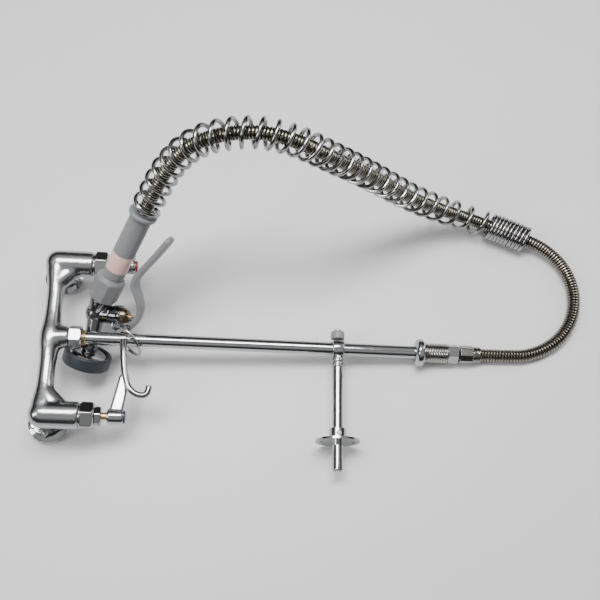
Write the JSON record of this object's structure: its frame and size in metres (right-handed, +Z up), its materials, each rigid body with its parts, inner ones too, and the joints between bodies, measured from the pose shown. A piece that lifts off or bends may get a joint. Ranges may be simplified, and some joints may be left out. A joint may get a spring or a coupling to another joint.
{
  "type": "pre rinse faucet",
  "caption": "Wall mounted pre rinse faucet: lever valves on a mixing body, riser with wall bracket, sprung hose on a squeeze spray valve",
  "frame": {"origin": "The flat surface the unmounted faucet lies on, under the middle of the mixing body's bar", "axes": "+X along the riser from the mixing body towards the hose, +Y along the bar towards the hot valve, +Z up from the surface the faucet lies on; the wall side of the inlets faces down"},
  "size_m": [0.7339, 0.3761, 0.3052],
  "materials": {
    "body_chrome": "polished",
    "trim_chrome": "polished",
    "brass": "machined",
    "steel": "stainless",
    "grey_plastic": "matte",
    "lever_coating": "soft coated",
    "rubber": "matte",
    "ceramic": "lapped ceramic",
    "red_index": "gloss",
    "blue_index": "gloss",
    "pink_band": "gloss, blank"
  },
  "bodies": {
    "faucet": {"mixing_body": "body_chrome", "hot_inlet_washer": "rubber", "hot_union_nut": "trim_chrome", "hot_wall_flange": "trim_chrome", "hot_fixed_disc": "ceramic", "hot_bonnet": "trim_chrome", "hot_gland_nut": "trim_chrome", "cold_inlet_washer": "rubber", "cold_union_nut": "trim_chrome", "cold_wall_flange": "trim_chrome", "cold_fixed_disc": "ceramic", "cold_bonnet": "trim_chrome", "cold_gland_nut": "trim_chrome", "riser_adapter": "body_chrome", "outlet_nut": "body_chrome", "riser_pipe": "body_chrome", "spring_seat": "trim_chrome", "threaded_sleeve": "brass", "hose_hex": "trim_chrome", "hose_nut": "trim_chrome", "hose_ferrule": "steel", "hose": "steel", "overhead_spring": "steel", "grip_collar": "grey_plastic", "grip_sleeve": "grey_plastic", "grip_rim": "grey_plastic", "hose_end_ferrule": "trim_chrome", "grip_band": "pink_band", "grip_insert": "grey_plastic", "spray_valve_body": "trim_chrome", "valve_bonnet": "trim_chrome", "bonnet_cap": "brass", "valve_spring": "steel", "spray_bell": "trim_chrome", "bumper_ring": "rubber", "spray_plate": "grey_plastic", "plate_screw": "trim_chrome", "lever_yoke": "trim_chrome", "pivot_pin": "trim_chrome"},
    "hot_handle": {"hot_spindle": "brass", "hot_lever_handle": "trim_chrome", "hot_handle_screw": "trim_chrome", "hot_index_button": "red_index"},
    "cold_handle": {"cold_spindle": "brass", "cold_lever_handle": "trim_chrome", "cold_handle_screw": "trim_chrome", "cold_index_button": "blue_index"},
    "hook": {"finger_hook": "trim_chrome", "hook_set_screw": "trim_chrome"},
    "wall_bracket": {"bracket_clamp": "trim_chrome", "bracket_cap": "grey_plastic", "cap_screw": "trim_chrome", "rod_nut_1": "trim_chrome", "rod_nut_2": "trim_chrome", "bracket_rod": "trim_chrome"},
    "wall_plate": {"bracket_flange": "trim_chrome", "flange_set_screw": "trim_chrome"},
    "squeeze": {"squeeze_lever": "lever_coating"},
    "plunger": {"valve_plunger": "brass"},
    "hold_ring": {"hanging_ring": "trim_chrome"}
  },
  "joints": [
    {"name": "hot_handle_turn", "type": "hinge", "parent": "faucet", "child": "hot_handle", "pos_m": [0, 0.1016, 0.062], "axis": [0.9959, 0, -0.0901], "range_deg": [-55, 30]},
    {"name": "cold_handle_turn", "type": "hinge", "parent": "faucet", "child": "cold_handle", "pos_m": [0, -0.1016, 0.062], "axis": [0.9959, 0, -0.0901], "range_deg": [-65, 0]},
    {"name": "hook_turn", "type": "hinge", "parent": "faucet", "child": "hook", "pos_m": [0.09262, 0, 0.05362], "axis": [0.9959, 0, -0.0901], "range_deg": [-50, 0]},
    {"name": "bracket_turn", "type": "hinge", "parent": "faucet", "child": "wall_bracket", "pos_m": [0.36949, 0, 0.02857], "axis": [0.9959, 0, -0.0901], "range_deg": [-90, 90]},
    {"name": "plate_slide", "type": "slide", "parent": "wall_bracket", "child": "wall_plate", "axis": [0, 1, 0], "range_m": [-0.03, 0.075]},
    {"name": "squeeze_turn", "type": "hinge", "parent": "faucet", "child": "squeeze", "pos_m": [0.09868, 0.01917, 0.05347], "axis": [-0.3528, -0.6539, 0.6693], "range_deg": [0, 7.5], "stiffness_Nm_per_rad": 6, "springref_deg": -8.59},
    {"name": "plunger_slide", "type": "slide", "parent": "faucet", "child": "plunger", "axis": [-0.9329, 0.1905, -0.3057], "range_m": [0, 0.002]},
    {"name": "ring_swing", "type": "hinge", "parent": "faucet", "child": "hold_ring", "pos_m": [0.0814, 0.0171, 0.0598], "axis": [-0.339, 0.0339, -0.9402], "range_deg": [-8, 8]}
  ],
  "couplings": [
    {"joint": "plunger_slide", "follows": "squeeze_turn", "m_per_rad": 0.0131}
  ]
}
